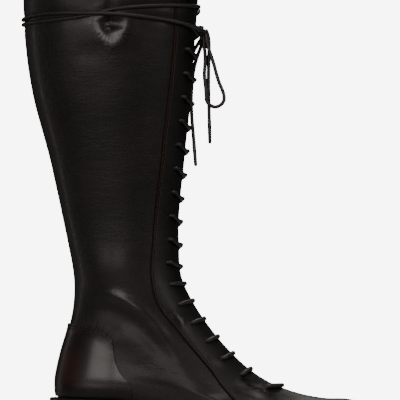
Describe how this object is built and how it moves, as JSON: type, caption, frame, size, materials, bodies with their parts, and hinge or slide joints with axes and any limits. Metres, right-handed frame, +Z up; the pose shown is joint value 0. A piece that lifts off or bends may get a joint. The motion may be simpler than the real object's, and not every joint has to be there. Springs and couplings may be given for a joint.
{
  "type": "tall laced boot",
  "caption": "Knee-high laced leather boot, right foot: hollow upper with throat, tongue and facings, welted sole, mid block heel, lace wound round the shaft and tied in front.",
  "frame": {"origin": "middle of the heel's rest face, on the floor", "axes": "+X from the heel to the toe, +Y to the inner side of the foot, +Z up the shaft"},
  "size_m": [0.2971, 0.1013, 0.4146],
  "materials": {
    "upper_leather": "smooth fine-grained leather, soft gloss, light creases",
    "panel_leather": "smooth leather with red-brown raw edges and punched lace holes",
    "counter_leather": "smooth polished leather, stitched upper edge",
    "tongue_leather": "soft matt leather",
    "insole": "plain tan leather",
    "welt": "waxed edge with welt stitches",
    "outsole": "matt black with fine tread",
    "heel_block": "stacked leather, waxed black",
    "heel_lift": "matt black rubber",
    "lace": "round waxed cotton braid, 3 mm",
    "aglet": "clear black lace tag"
  },
  "bodies": {
    "root": {"upper": "upper_leather", "front_panel": "panel_leather", "heel_counter": "counter_leather", "tongue": "tongue_leather", "insole": "insole", "welt": "welt", "outsole": "outsole", "heel_block": "heel_block", "heel_lift": "heel_lift", "lace_crossings": "lace", "lace_wrap": "lace", "lace_knot": "lace", "lace_loop_near": "lace", "lace_loop_far": "lace", "lace_tail_near": "lace", "lace_tail_far": "lace", "aglet_near": "aglet", "aglet_far": "aglet"}
  },
  "joints": []
}
